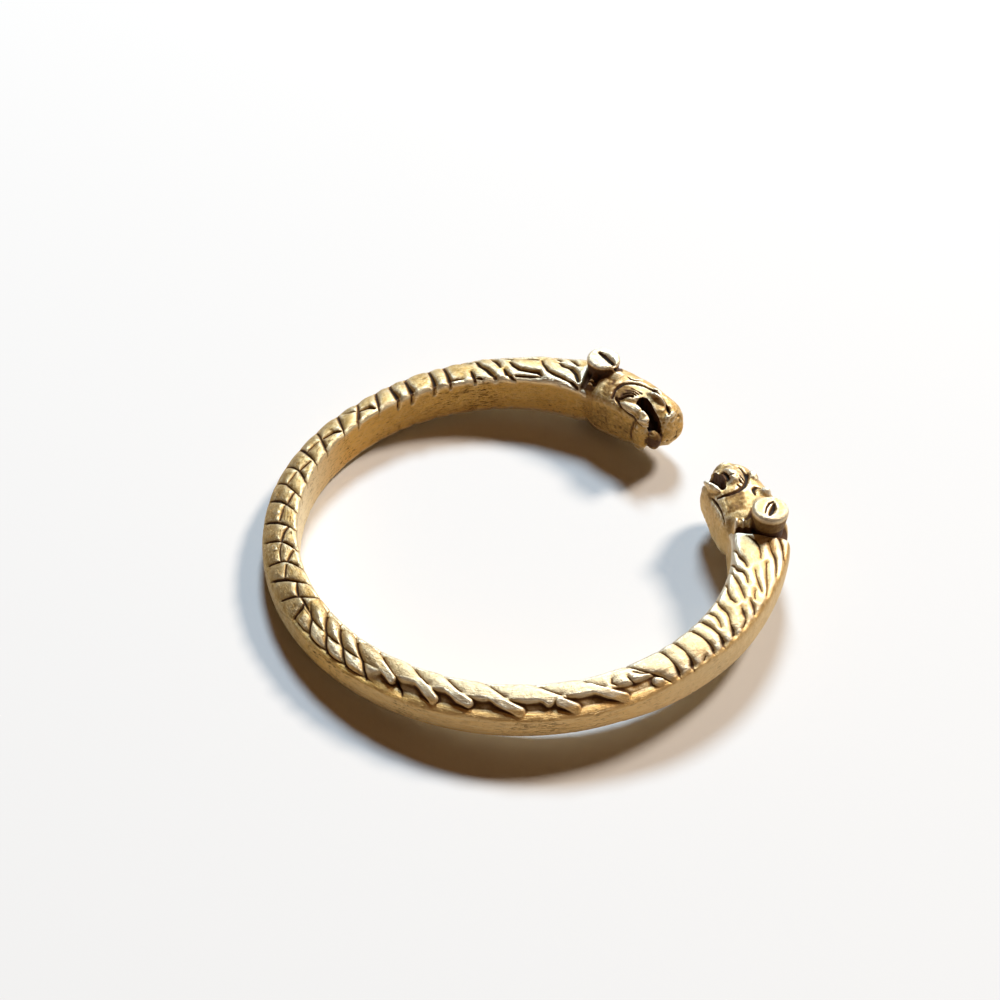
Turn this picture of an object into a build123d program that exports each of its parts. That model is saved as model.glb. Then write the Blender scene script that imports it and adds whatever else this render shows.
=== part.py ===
"""Open cast bangle with two confronted beast heads, lying on its side.

The ring axis is +Z and z = 0 is the middle of the casting's thickness. The origin is the centre of
the wrist opening. The gap between the two heads faces +X, and the casting is the same above and
below, and the same on both sides of the gap. Angles are measured from the middle of the gap.
"""

import os
from math import cos, radians, sin

from build123d import *

# ring
inner_radius = 27.0  # wearing surface at the back of the ring
bar_width = 4.5  # radial width of the scaled bar
bar_thickness = 6.2  # over the two carved faces
inner_wall_height = 5.1
edge_band_height = 2.5  # plain outer edge round the scaled bar

# zones, in degrees from the middle of the gap
collar_angle = 37.0
mane_end_angle = 70.0
ridge_end_angle = 101.0

# carving
scale_row_length = 3.36  # along the middle of the bar
scale_depth = 0.4
ridge_length = 1.65  # mean length of a cross ridge
ridge_depth = 0.45
lock_length = 2.15  # one mane lock along the middle of the bar
lock_depth = 0.42
notch_depth = 0.3  # carving that runs over the inner and outer corners

# neck, what it gains between the scales and the collar
neck_rise = 2.4  # outwards
throat_drop = 0.9  # inwards
neck_swell = 0.7  # over the two faces
neck_band_gain = 1.9  # height of the plain outer edge

# head
head_angle = 27.0  # from the collar to the tip of the nose
head_depth = 8.9  # from the jaw to the forehead
head_thickness = 8.2
mouth_width = 2.0
jaw_shortfall_angle = 4.2  # how far the lower jaw stops short of the nose
lip_wall = 1.0
lip_rise = 0.25
ear_diameter = 4.2
ear_height = 6.1  # top of the ear above the middle plane
ear_hollow_diameter = 2.0
ear_hollow_depth = 0.5
eye_diameter = 1.6
knob_rise = 0.3
brow_diameter = 1.5
bar_count = 3
collar_bar_width = 0.5
collar_bar_pitch = 0.9
collar_bar_length = 2.0
collar_bar_height = 3.6  # above the middle plane
tongue_thickness = 2.6
tongue_width = 1.1

mid_radius = inner_radius + bar_width / 2


def radial_plane(angle):
    """Plane through the ring axis: local x is outwards, local y is up."""
    a = radians(angle)
    return Plane(origin=(0, 0, 0), x_dir=(cos(a), sin(a), 0), z_dir=(sin(a), -cos(a), 0))


def at(radius, angle):
    return (radius * cos(radians(angle)), radius * sin(radians(angle)))


def flow(rows, column, share):
    """Value of a table's column at a share of its length, in straight steps between rows."""
    for low, high in zip(rows, rows[1:]):
        if share <= high[0]:
            t = (share - low[0]) / (high[0] - low[0])
            return low[column] + t * (high[column] - low[column])
    return rows[-1][column]


# band
# share of the way from the scales to the collar | share of neck_rise | of throat_drop |
# of neck_swell | of neck_band_gain
NECK = [
    (0.00, 0.00, 0.00, 0.00, 0.00),
    (0.30, 0.10, 0.00, 0.05, 0.85),
    (0.55, 0.36, 0.00, 0.20, 1.00),
    (0.72, 0.55, 0.10, 0.45, 1.00),
    (0.84, 0.74, 0.40, 0.75, 0.95),
    (1.00, 1.00, 1.00, 1.00, 0.90),
]

# column border | share of the local width | share of the dome's height kept there
COLUMNS = [
    ("inner_top", 0.10, 0.92),
    ("inner_low", 0.48, 0.96),
    ("valley", 0.50, 0.90),
    ("outer_top", 0.52, 0.91),
    ("outer_low", 0.93, 0.30),
]
BORDERS = [row[0] for row in COLUMNS]


def band_section(angle, cut):
    """Section of the carved bar. cut gives how deep each column border is cut, in mm."""
    share = max(0.0, (ridge_end_angle - angle) / (ridge_end_angle - collar_angle))
    r_in = inner_radius - throat_drop * flow(NECK, 2, share)
    r_out = inner_radius + bar_width + neck_rise * flow(NECK, 1, share)
    crest = (bar_thickness + neck_swell * flow(NECK, 3, share)) / 2
    edge = (edge_band_height + neck_band_gain * flow(NECK, 4, share)) / 2
    width = r_out - r_in
    half = [(r_in, inner_wall_height / 2 - min(notch_depth, cut[0] / 2))]
    for (name, across, keep), depth in zip(COLUMNS, cut):
        half.append((r_in + across * width, edge + (crest - edge) * keep - depth))
    run_out = min(notch_depth, cut[-1] / 3)
    half.append((r_out - run_out, edge - run_out))
    return half + [(r, -z) for r, z in reversed(half)]


# share of a scale row | cut of the inner scale | cut of the outer scale, shares of scale_depth
SCALE = [
    (0.00, 1.00, 0.40),
    (0.20, 0.10, 0.45),
    (0.50, 0.40, 1.00),
    (0.70, 0.45, 0.10),
]

# lengths of the cross ridges from the scales to the mane, shares of ridge_length
RIDGES = [1.25, 0.75, 1.1, 0.7, 1.2, 0.8, 1.3, 0.7, 1.15, 0.85, 1.2]

# share of a mane lock | cuts at the edges | cut at the middle, shares of lock_depth
LOCK = [
    (0.00, 1.00, 0.75),
    (0.30, 0.65, 0.90),
    (0.65, 0.00, 0.05),
]

# sections from one side of the gap to the back, as pairs of angle and cuts at the borders
half_ring = []

lock_count = max(1, round(radians(mane_end_angle - collar_angle) * mid_radius / lock_length))
lock_step = (mane_end_angle - collar_angle) / lock_count
for i in range(lock_count):
    for share, side, middle in LOCK:
        cut = [lock_depth * c for c in (side, middle, middle, middle, side)]
        half_ring.append((collar_angle + (i + share) * lock_step, cut))

ridge_span = ridge_end_angle - mane_end_angle
ridge_count = max(1, round(radians(ridge_span) * mid_radius / ridge_length))
widths = [RIDGES[i % len(RIDGES)] for i in range(ridge_count)]
angle = mane_end_angle
for width in reversed(widths):
    step = ridge_span * width / sum(widths)
    half_ring.append((angle, [ridge_depth] * len(COLUMNS)))
    half_ring.append((angle + 0.45 * step, [0.0] * len(COLUMNS)))
    angle += step

row_count = max(1, round(radians(180 - ridge_end_angle) * mid_radius / scale_row_length))
row_step = (180 - ridge_end_angle) / row_count
for i in range(row_count + 1):
    for share, inner, outer in SCALE[: 1 if i == row_count else None]:
        split = (inner + outer) / 2 + 0.4
        cut = [scale_depth * c for c in (inner, inner, split, outer, outer)]
        half_ring.append((ridge_end_angle + (i + share) * row_step, cut))

with BuildPart() as band:
    ring = half_ring + [(360 - angle, cut) for angle, cut in reversed(half_ring[:-1])]
    for angle, cut in ring:
        with BuildSketch(radial_plane(angle)):
            Polygon(*band_section(min(angle, 360 - angle), cut), align=None)
    loft(ruled=True, clean=False)

# head
# share of head_angle | jaw, share of head_depth in from the nape line | forehead, share of
# head_depth out from the nape line | half thickness of the jaw, cheek and forehead, shares of
# half the head_thickness
HEAD = [
    (0.00, 0.47, 0.37, 0.64, 0.74, 0.52),
    (0.08, 0.49, 0.40, 0.68, 0.80, 0.56),
    (0.12, 0.53, 0.46, 0.82, 0.97, 0.78),
    (0.28, 0.56, 0.48, 0.84, 1.00, 0.80),
    (0.42, 0.59, 0.46, 0.82, 1.00, 0.78),
    (0.56, 0.60, 0.39, 0.76, 0.97, 0.74),
    (0.70, 0.60, 0.29, 0.70, 0.95, 0.70),
    (0.84, 0.58, 0.20, 0.66, 0.90, 0.68),
    (0.93, 0.40, 0.12, 0.56, 0.74, 0.56),
    (1.00, 0.24, 0.02, 0.34, 0.44, 0.34),
]
nape_radius = inner_radius + bar_width * 0.67


def head_at(share):
    return collar_angle - head_angle * share


def head_section(row):
    share, jaw, brow, z_jaw, z_cheek, z_brow = row
    r_in = nape_radius - jaw * head_depth
    r_out = nape_radius + brow * head_depth
    width = r_out - r_in
    half_t = head_thickness / 2
    half = [
        (r_in, 0.78 * z_jaw * half_t),
        (r_in + 0.10 * width, z_jaw * half_t),
        (r_in + 0.38 * width, z_cheek * half_t),
        (r_in + 0.66 * width, 0.97 * z_cheek * half_t),
        (r_in + 0.88 * width, z_brow * half_t),
        (r_out, 0.55 * z_brow * half_t),
    ]
    return half + [(r, -z) for r, z in reversed(half)]


mouth_angle = head_at(0.73)
mouth_radius = nape_radius - 0.30 * head_depth
jaw_end_angle = head_at(1.0) + jaw_shortfall_angle
past_nose = head_at(1.3)
below_jaw = nape_radius - 0.9 * head_depth
ear_angle = head_at(0.07)
ear_radius = nape_radius + 0.09 * head_depth
knobs = [
    (nape_radius + 0.11 * head_depth, head_at(0.43), eye_diameter),
    (nape_radius + 0.10 * head_depth, head_at(0.68), brow_diameter),
]
collar_bar_angle = head_at(0.06)
collar_bar_radius = nape_radius - 0.25 * head_depth

with BuildPart() as head:
    for row in HEAD:
        with BuildSketch(radial_plane(head_at(row[0]))):
            Polygon(*head_section(row), align=None)
    loft(ruled=True, clean=False)
    # lips, an open ring raised on both cheeks
    with BuildSketch(Plane.XY.offset(-head_thickness / 2 - lip_rise)):
        with Locations(at(mouth_radius, mouth_angle)):
            Circle(mouth_width / 2 + lip_wall)
    extrude(amount=head_thickness + 2 * lip_rise, clean=False)
    # ears, and the short bars across the collar groove
    with BuildSketch(Plane.XY.offset(-ear_height)):
        with Locations(at(ear_radius, ear_angle)):
            Circle(ear_diameter / 2)
    extrude(amount=2 * ear_height, clean=False)
    with BuildSketch(Plane.XY.offset(-collar_bar_height)):
        for i in range(bar_count):
            offset = (i - (bar_count - 1) / 2) * collar_bar_pitch
            with Locations(at(collar_bar_radius + offset, collar_bar_angle)):
                Rectangle(collar_bar_width, collar_bar_length, rotation=collar_bar_angle)
    extrude(amount=2 * collar_bar_height, clean=False)
    # eyes and brow knobs
    for radius, angle, knob in knobs:
        x, y = at(radius, angle)
        top = head_thickness / 2 + knob_rise
        with Locations((x, y, top), Location((x, y, -top), (180, 0, 0))):
            Cone(knob / 2, knob / 4, knob, align=(Align.CENTER, Align.CENTER, Align.MAX))
    # mouth, open to the front, with a round back end
    with BuildSketch(Plane.XY.offset(-head_thickness)):
        with Locations(at(mouth_radius, mouth_angle)):
            Circle(mouth_width / 2)
        with BuildLine():
            Polyline(
                at(mouth_radius + mouth_width / 2, mouth_angle),
                at(mouth_radius + 0.1 * mouth_width, past_nose),
                at(below_jaw, past_nose),
                at(below_jaw, jaw_end_angle),
                at(mouth_radius - 0.6 * mouth_width, jaw_end_angle),
                at(mouth_radius - mouth_width / 2, mouth_angle),
                close=True,
            )
        make_face()
    extrude(amount=2 * head_thickness, mode=Mode.SUBTRACT, clean=False)
    # crescent hollows of the ears
    for side in (1, -1):
        with BuildSketch(Plane.XY.offset(side * ear_height)):
            with Locations(at(ear_radius + 0.1 * ear_diameter, ear_angle - 1.2)):
                Circle(ear_hollow_diameter / 2)
            with Locations(at(ear_radius - 0.12 * ear_diameter, ear_angle)):
                Circle(ear_hollow_diameter / 2, mode=Mode.SUBTRACT)
        extrude(amount=-side * ear_hollow_depth, mode=Mode.SUBTRACT, clean=False)
    # tongue, a low web in the mouth
    with BuildSketch(Plane.XY.offset(-tongue_thickness / 2)):
        with BuildLine():
            Polyline(
                at(mouth_radius + mouth_width * 0.75, mouth_angle + 1.5),
                at(mouth_radius + mouth_width * 0.75, mouth_angle - 3.0),
                at(mouth_radius - tongue_width * 0.3, mouth_angle - 4.2),
                at(mouth_radius - tongue_width * 0.5, mouth_angle - 1.0),
                at(mouth_radius - mouth_width * 0.3, mouth_angle + 4.5),
                close=True,
            )
        make_face()
    extrude(amount=tongue_thickness, clean=False)

# casting
with BuildPart() as bangle:
    add(band.part, clean=False)
    add([head.part, mirror(head.part, about=Plane.XZ, mode=Mode.PRIVATE)], clean=False)

bangle.part.label = "bangle"
os.makedirs("parts", exist_ok=True)
export_step(bangle.part, "parts/bangle.step")
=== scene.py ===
from math import atan2, cos, radians, sin

import bpy
import numpy as np
from mathutils import Matrix, Vector


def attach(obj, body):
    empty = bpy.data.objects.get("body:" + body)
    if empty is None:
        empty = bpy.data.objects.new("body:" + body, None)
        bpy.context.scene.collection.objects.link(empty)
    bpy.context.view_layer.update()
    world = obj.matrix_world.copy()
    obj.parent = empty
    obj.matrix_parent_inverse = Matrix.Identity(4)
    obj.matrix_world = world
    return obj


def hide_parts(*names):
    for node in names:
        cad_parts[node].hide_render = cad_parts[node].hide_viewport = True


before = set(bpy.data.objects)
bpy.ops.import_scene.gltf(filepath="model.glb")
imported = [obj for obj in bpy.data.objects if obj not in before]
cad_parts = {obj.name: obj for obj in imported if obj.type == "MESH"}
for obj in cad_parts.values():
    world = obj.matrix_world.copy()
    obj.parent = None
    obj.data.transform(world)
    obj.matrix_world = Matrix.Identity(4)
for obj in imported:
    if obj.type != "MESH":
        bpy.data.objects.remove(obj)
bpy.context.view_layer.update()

# View
# The bangle lies flat and is seen from in front and above, with the gap between its heads to the
# right. Lengths below are in millimetres, and angles round the ring start at the middle of the gap.

MM = 0.001
view_height = 43.04  # degrees above the plane of the ring
view_turn = 33.0  # the gap points this far round from the picture's right
view_distance = 220.5
view_centre = (1.39, 6.11)  # where the middle of the picture meets the plane of the ring
view_roll = 0.86
lens_mm = 62.53


def photo_place(right, away, up):
    """A point given as right, away and up in the picture, in the row frame."""
    a = radians(-view_turn)
    x = view_centre[0] + right * cos(a) - away * sin(a)
    y = view_centre[1] + right * sin(a) + away * cos(a)
    return Vector((x * MM, y * MM, up * MM))


height = radians(view_height)
aim = photo_place(0, 0, 0)
lens_place = photo_place(0, -view_distance * cos(height), view_distance * sin(height))
back = (lens_place - aim).normalized()
level = (photo_place(1, 0, 0) - aim).normalized()
upright = back.cross(level)
roll = radians(view_roll)
camera_x = level * cos(roll) + upright * sin(roll)
camera_y = upright * cos(roll) - level * sin(roll)
camera_data = bpy.data.cameras.new("camera")
camera_data.lens = lens_mm
camera_data.sensor_width = 36.0
camera_data.clip_start, camera_data.clip_end = 0.01, 10.0
camera = bpy.data.objects.new("camera", camera_data)
bpy.context.scene.collection.objects.link(camera)
camera.matrix_world = Matrix(
    (
        (camera_x[0], camera_y[0], back[0], lens_place[0]),
        (camera_x[1], camera_y[1], back[1], lens_place[1]),
        (camera_x[2], camera_y[2], back[2], lens_place[2]),
        (0, 0, 0, 1),
    )
)
bpy.context.scene.camera = camera

# Band
# The ring of the casting: a bar with a plain inner wall, a plain rim outside, and two faces
# chased with scales at the back, cross ridges, and the locks of a mane towards each head.

inner_radius = 27.0
bar_width = 4.5
bar_height = 6.2
inner_wall_height = 5.1
rim_height = 2.5
collar_angle = 37.0
ridge_start_angle = 101.0
neck_rise, throat_drop, neck_swell, neck_rim_gain = 2.4, 0.9, 0.7, 1.9

# share of the way from the scales to the collar | shares of the four gains named above
NECK = np.array([
    (0, 0, 0, 0, 0),
    (0.3, 0.1, 0, 0.05, 0.85),
    (0.55, 0.36, 0, 0.2, 1),
    (0.72, 0.55, 0.1, 0.45, 1),
    (0.84, 0.74, 0.4, 0.75, 0.95),
    (1, 1, 1, 1, 0.9),
])
# share of the width, from the inner corner | share of the face's rise above the rim
FACE = np.array([(0, 0.72), (0.1, 0.93), (0.3, 1), (0.52, 0.93), (0.75, 0.64), (0.93, 0.27), (1, 0)])


def flow(x, xs, ys):
    """A smooth curve through the points of a table, with no overshoot."""
    xs, ys = np.asarray(xs, float), np.asarray(ys, float)
    step = np.diff(xs)
    rise = np.diff(ys) / step
    left, right = rise[:-1], rise[1:]
    same = left * right > 0
    inner = np.where(same, 2 * left * right / np.where(same, left + right, 1), 0)
    slope = np.concatenate([rise[:1], inner, rise[-1:]])
    x = np.clip(x, xs[0], xs[-1])
    i = np.clip(np.searchsorted(xs, x, side="right") - 1, 0, len(step) - 1)
    t = (x - xs[i]) / step[i]
    a = ys[i] * (1 + 2 * t) * (1 - t) ** 2 + ys[i + 1] * t * t * (3 - 2 * t)
    return a + step[i] * (slope[i] * t * (1 - t) ** 2 - slope[i + 1] * t * t * (1 - t))


def waves(seed, *coords):
    """Smooth random waves between -1 and 1 over two or three coordinates, one unit apart."""
    table = np.random.default_rng(seed).uniform(-1, 1, 4096)
    cell = [np.floor(c).astype(int) for c in coords]
    part = [c - np.floor(c) for c in coords]
    part = [t * t * (3 - 2 * t) for t in part]
    total = 0
    for corner in range(2 ** len(coords)):
        weight, key = 1.0, 0
        for axis, prime in zip(range(len(coords)), (73, 1571, 3331)):
            up = corner >> axis & 1
            weight = weight * (part[axis] if up else 1 - part[axis])
            key = key + (cell[axis] + up) * prime
        total = total + weight * table[key % 4096]
    return total


def smooth_step(x, low, high):
    t = np.clip((x - low) / (high - low), 0, 1)
    return t * t * (3 - 2 * t)


mid_radius = inner_radius + bar_width / 2
mm_per_degree = radians(1) * mid_radius


def chase(along, across, line):
    """Distance in mm of each place from a line of points (along, across, half width), in mm
    along and across, and the half width of the line at its nearest point."""
    best = np.full_like(along, 99.0)
    half = np.full_like(along, 0.1)
    for (a0, c0, w0), (a1, c1, w1) in zip(line[:-1], line[1:]):
        da, dc = a1 - a0, c1 - c0
        t = np.clip(((along - a0) * da + (across - c0) * dc) / (da * da + dc * dc + 1e-9), 0, 1)
        d = np.hypot(along - a0 - t * da, across - c0 - t * dc)
        nearer = d < best
        best = np.where(nearer, d, best)
        half = np.where(nearer, w0 + (w1 - w0) * t, half)
    return best, half


deepest_groove = 0.62
groove_shoulder = 0.42  # how far the metal beside a groove is rounded off


def groove_depth(half, least=0.12):
    return np.minimum(least + 1.15 * half, deepest_groove)


def groove_profile(away, half):
    """Share of a groove's depth at a distance from its line, round at the bottom."""
    return np.exp(-((away / half) ** 2) * 0.9)


def groove_dirt(away, half, spread):
    """Dirt left round the line of a groove: less in a fine one, and none far from its middle."""
    return np.clip(half / 0.12, 0, 1) * np.exp(-((np.maximum(away - 0.5 * half, 0) / spread) ** 2))


def carve(along, across, width, cuts, least, spread):
    """Depth cut on a face by a list of chased lines, how near each place is to one, and how
    much dirt it holds, from the least depth of a line and the spread of its dirt.

    A line is a list of points: degrees along, share of the width, and half width in mm. It is
    cut as a round-bottomed groove that is deeper where it is wider."""
    depth, dark = np.zeros_like(along), np.zeros_like(along)
    away = np.full_like(along, 9.0)
    for line in cuts:
        points = np.asarray(line, float)
        near = (along > points[:, 0].min() - 3) & (along < points[:, 0].max() + 3)
        if not near.any():
            continue
        middle = float(np.median(width[near]))
        scaled = [(a * mm_per_degree, v * middle, w) for a, v, w in line]
        d, half = chase(along[near] * mm_per_degree, across[near] * middle, scaled)
        depth[near] = np.maximum(depth[near], groove_depth(half, least) * groove_profile(d, half))
        away[near] = np.minimum(away[near], np.maximum(d - half, 0))
        dark[near] = np.maximum(dark[near], groove_dirt(d, half, spread))
    return depth, np.exp(-away / groove_shoulder), dark


# Grooves between the rows of scales: the angle of each at four shares of the width, and where it
# is cut wide. The far side runs from the upper head to the back of the ring, and the near side
# from the other head.
ROW_SHARES = (0.0, 0.35, 0.6, 1.0)
FAR_ROWS = [
    (99.2, 97.6, 96.5, 94.5, "outer"), (106.8, 104.3, 102.6, 100.3, "inner"),
    (112.8, 110.8, 109.4, 106.8, "outer"), (121, 118.9, 117.2, 114.5, "inner"),
    (127, 125.2, 124, 121.5, "outer"), (134.3, 131.5, 130.3, 128.3, "inner"),
    (140.3, 138.3, 136.4, 134.3, "thin"), (146.3, 144, 142.4, 140.5, "outer"),
    (153, 151.1, 149.8, 147.8, "outer"), (160.3, 157.5, 156.2, 154.3, "inner"),
    (167.2, 164.3, 163.2, 161.8, "inner"), (173.3, 171.2, 169.3, 166.6, "outer"),
    (178.6, 177, 175.2, 173, "thin"),
]
NEAR_ROWS = [
    (96, 93.8, 91.4, 88.6, "thin"), (108, 105, 101.4, 97.4, "both"),
    (119, 115, 111.4, 108, "both"), (130.5, 127, 124.2, 120, "both"),
    (140.5, 137, 134, 130.6, "both"), (148.8, 145, 141.6, 138.4, "both"),
    (157.6, 154, 150.8, 147, "wide"), (165.2, 162.4, 159.6, 156, "wide"),
    (171, 168.4, 165.6, 161.8, "wide"), (176.4, 173.8, 171.2, 167.6, "wide"),
    (183.6, 180.9, 177.2, 174, "wide"),
]
# half width of each kind of groove, at shares of the width
GROOVE_SHARES = (-0.16, 0, 0.15, 0.32, 0.48, 0.8, 1)
GROOVE_KINDS = {
    "inner": (0.12, 0.22, 0.21, 0.17, 0.11, 0.09, 0.06),
    "outer": (0.07, 0.1, 0.11, 0.15, 0.18, 0.14, 0.08),
    "wide": (0.07, 0.11, 0.12, 0.11, 0.1, 0.13, 0.05),
    "both": (0.07, 0.11, 0.12, 0.1, 0.07, 0.07, 0.07),
    "thin": (0.1, 0.13, 0.1, 0.1, 0.1, 0.08, 0.06),
}


def whole_numbered(parts, table):
    """Chased lines written in whole numbers: each share in so many parts, and each half width in
    hundredths of a millimetre."""
    return [[(a, v / parts, w / 100) for a, v, w in line] for line in table]


# the bars and knobs that stand up from the sunk outer band of each side: angle | share of the
# width in hundredths | half width in hundredths of a mm
NEAR_BARS = whole_numbered(100, [
    [(91, 84, 50), (91.6, 79, 50)],
    [(99.5, 86, 51), (102, 71, 53), (104.5, 54, 57), (106.4, 38, 57)],
    [(110.4, 84, 51), (112, 75, 53), (113.6, 65, 51)],
    [(115.9, 58, 71), (118, 42, 57)],
    [(122.2, 83, 51), (124.6, 72, 53), (127, 60, 53), (129.2, 44, 53)],
    [(133.2, 73, 51), (135.5, 64, 55), (138, 48, 53)],
    [(140.8, 80, 51), (142.4, 68, 55), (145, 50, 53)],
    [(151, 68, 48), (153, 56, 55), (155.4, 42, 53)],
])
FAR_BARS = whole_numbered(100, [
    [(145.6, 68, 42), (146.6, 62, 42)],
    [(157.6, 73, 36), (158.6, 68, 36)],
])

# Cross grooves of the ridges and the lines between the locks of the mane, to the collar.
# They are written as the bars are.
FAR_LINES = whole_numbered(100, [
    [(92.8, -22, 23), (92.4, 0, 33), (92.2, 20, 35), (92, 50, 20), (91.2, 80, 17), (90.4, 100, 12)],
    [(88.2, -22, 27), (87.9, 0, 41), (87.6, 20, 39), (87.5, 45, 19), (87, 75, 16), (85.8, 100, 12)],
    [(81.2, -16, 23), (80.9, 5, 39), (80.5, 25, 28), (80.3, 50, 16), (80, 80, 16), (79.6, 100, 12)],
    [(76.4, -10, 17), (76.3, 10, 31), (76.2, 30, 22), (76.1, 55, 16), (76, 80, 14), (75.6, 100, 11)],
    [(72.6, 10, 9), (74.2, 12, 16), (75.8, 12, 17)],
    [(69.2, -4, 27), (69.4, 14, 23), (69.7, 36, 8)],
    [(67.2, 2, 8), (68.4, 5, 16)],
    [(63.4, 0, 31), (64.2, 16, 33), (65.4, 38, 31), (66.8, 56, 28), (67.3, 80, 14), (68.6, 95, 11)],
    [(61.7, 42, 9), (62.1, 60, 23), (62.7, 76, 27), (63.6, 90, 12)],
    [(57.6, -5, 12), (59, 2, 23), (60, 12, 28), (60.7, 32, 9)],
    [(50.4, 12, 16), (51.4, 23, 31), (54, 26, 31), (56.4, 31, 30), (58, 44, 22), (59.1, 64, 9)],
    [(50.6, 6, 8), (53.5, 4, 9), (57.6, 5, 11)],
    [(39.4, 0, 14), (41, 4, 19), (44, 13, 25), (46.6, 21, 27), (48.8, 31, 20), (50.4, 52, 11),
     (51, 70, 6)],
    [(39.8, 16, 22), (41.3, 36, 27), (43, 49, 31), (45, 53, 27), (46.4, 64, 12)],
    [(46.3, 72, 12), (47.2, 86, 22), (48.8, 98, 11)],
    [(52, 72, 8), (54.2, 78, 19), (57.5, 88, 14)],
    [(41.6, 62, 11), (43.2, 78, 20), (45.2, 94, 12)],
    [(58.5, 74, 8), (60.3, 86, 17), (61.6, 97, 9)],
    [(69, 78, 9), (70.6, 88, 23), (71.6, 98, 11)],
])
NEAR_LINES = whole_numbered(100, [
    [(86.8, -10, 7), (86.2, 12, 11), (86, 40, 7), (86, 65, 10), (86.2, 84, 25), (86.5, 97, 18)],
    [(82.2, -10, 7), (81.8, 12, 11), (81.7, 45, 7), (82, 70, 14), (82.5, 86, 33), (82.9, 98, 20)],
    [(76.6, -10, 7), (75.9, 10, 11), (75.7, 45, 8), (75.9, 72, 15), (76.3, 86, 23), (76.6, 96, 12)],
    [(72.9, -12, 8), (71.9, 10, 12), (72, 40, 9), (72.3, 66, 11), (73, 86, 30), (73.6, 97, 20)],
    [(69.4, -12, 8), (68.4, 8, 10), (68.5, 28, 8), (69.5, 45, 6), (70.4, 55, 4)],
    [(63, -5, 6), (64.2, 8, 9), (65.2, 24, 10), (65.7, 40, 10), (66.7, 52, 7), (68.2, 66, 6),
     (69, 80, 24), (69.7, 90, 26)],
    [(56.4, -4, 9), (58.2, 6, 10), (60.2, 19, 10), (61.4, 29, 11), (61.9, 42, 6)],
    [(51.6, -10, 6), (53.6, 8, 8), (55.2, 22, 10), (57, 36, 9), (58.6, 47, 8), (59.6, 55, 4)],
    [(49.4, -2, 10), (51, 8, 15), (51.8, 18, 18), (52, 28, 11), (53.2, 37, 7), (54.8, 44, 4)],
    [(44.6, 2, 8), (46.4, 10, 15), (47.6, 18, 18), (48.8, 27, 10), (50, 32, 5)],
    [(39.6, 28, 9), (41, 40, 14), (42.6, 47, 9), (44.6, 51, 6), (46.2, 53, 4)],
    [(50.4, 49, 4), (52.2, 56, 6), (53.8, 66, 9), (55.4, 78, 7)],
    [(47.2, 66, 5), (49, 69, 6), (51.5, 76, 7), (55.6, 92, 7)],
    [(40.2, 62, 4), (43.2, 70, 7), (45, 80, 18), (47.4, 87, 16), (49.4, 92, 7)],
    [(38.4, 80, 12), (40.6, 88, 15), (43.4, 96, 13), (46, 102, 6)],
    [(59.4, 68, 6), (60.4, 80, 15), (61.8, 93, 15)],
    [(62.6, 62, 6), (63.6, 72, 15), (64.4, 82, 9)],
    [(64.6, 84, 8), (65.6, 89, 14), (66.6, 93, 8)],
    [(56.2, 66, 4), (57.4, 69, 5), (58.4, 74, 5)],
    [(78.8, 86, 6), (79.6, 93, 9)],
])

# lines that part the scales of one row, and the cuts where the two halves meet at the back
FAR_SPLITS = whole_numbered(100, [
    [(99.9, 14, 10), (100.8, 30, 22), (103.4, 42, 16)],
    [(112.9, 14, 10), (114.4, 31, 24), (117.4, 43, 14)],
    [(126.8, 22, 6), (129, 31, 11), (131.2, 40, 11)],
    [(139.4, 23, 6), (141.6, 30, 11), (143.6, 37, 10)],
    [(151.6, 20, 8), (154, 37, 14), (156.8, 48, 11)],
    [(160.6, 15, 6), (162.2, 28, 11), (163.9, 42, 11)],
    [(104.4, 46, 6), (105.4, 58, 21), (106.6, 76, 10)],
    [(119.2, 44, 5), (121.4, 50, 8), (123.8, 57, 6)],
    [(131.8, 45, 5), (134.2, 50, 8), (136.4, 58, 6)],
    [(144.2, 42, 6), (146.6, 46, 8), (150, 53, 8)],
    [(157.6, 48, 6), (160.2, 56, 10), (163.2, 60, 8)],
    [(165, 46, 6), (167, 56, 11), (168.8, 66, 8)],
    [(171.4, 36, 8), (173.4, 45, 13), (175.4, 52, 10)],
    [(178.2, 46, 7), (179, 60, 14), (179.3, 78, 15), (179.5, 96, 9)],
    [(176.4, 47, 7), (178.2, 48, 12), (180, 50, 12), (181.6, 52, 9)],
])
NEAR_SPLITS = whole_numbered(100, [
    [(92.4, 52, 6), (94, 43, 9), (95.4, 31, 7)],
    [(96.4, 60, 6), (97, 50, 10), (97.2, 40, 7)],
    [(100.4, 52, 6), (101.2, 42, 10), (100.8, 30, 6)],
    [(161.6, 60, 5), (163.2, 61, 8), (164.8, 60, 5)],
    [(167.2, 60, 5), (169, 61, 8), (170.6, 60, 5)],
    [(173, 60, 5), (175, 61, 8), (177, 60, 5)],
    [(181.8, 46, 7), (181, 60, 14), (180.7, 78, 15), (180.5, 96, 9)],
    [(178.4, 52, 9), (180, 50, 12), (181.8, 48, 12)],
])
groove_roundness = 0.27
scale_tilt = 0.16
dome_depth = 0.4
far_sunk, near_sunk = 0.12, 0.62  # depth of the outer band of each face
# least depth of a groove and spread of its dirt: finer on the near side
FAR_GROOVE = (0.12, 0.11)
NEAR_GROOVE = (0.03, 0.055)


def row_lines(rows):
    """The grooves between the rows, as chased lines."""
    lines = []
    for row in rows:
        line = []
        shares = (-0.16, 0.0, 0.1, 0.2, 0.35, 0.48, 0.62, 0.76, 0.9, 1.0)
        for v in shares[:6] if row[4] == "both" else shares:
            a = float(flow(max(v, 0), ROW_SHARES, row[:4])) + (0.5 if v < 0 else 0.0)
            line.append((a, v, float(np.interp(v, GROOVE_SHARES, GROOVE_KINDS[row[4]]))))
        lines.append(line)
    return lines


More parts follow.
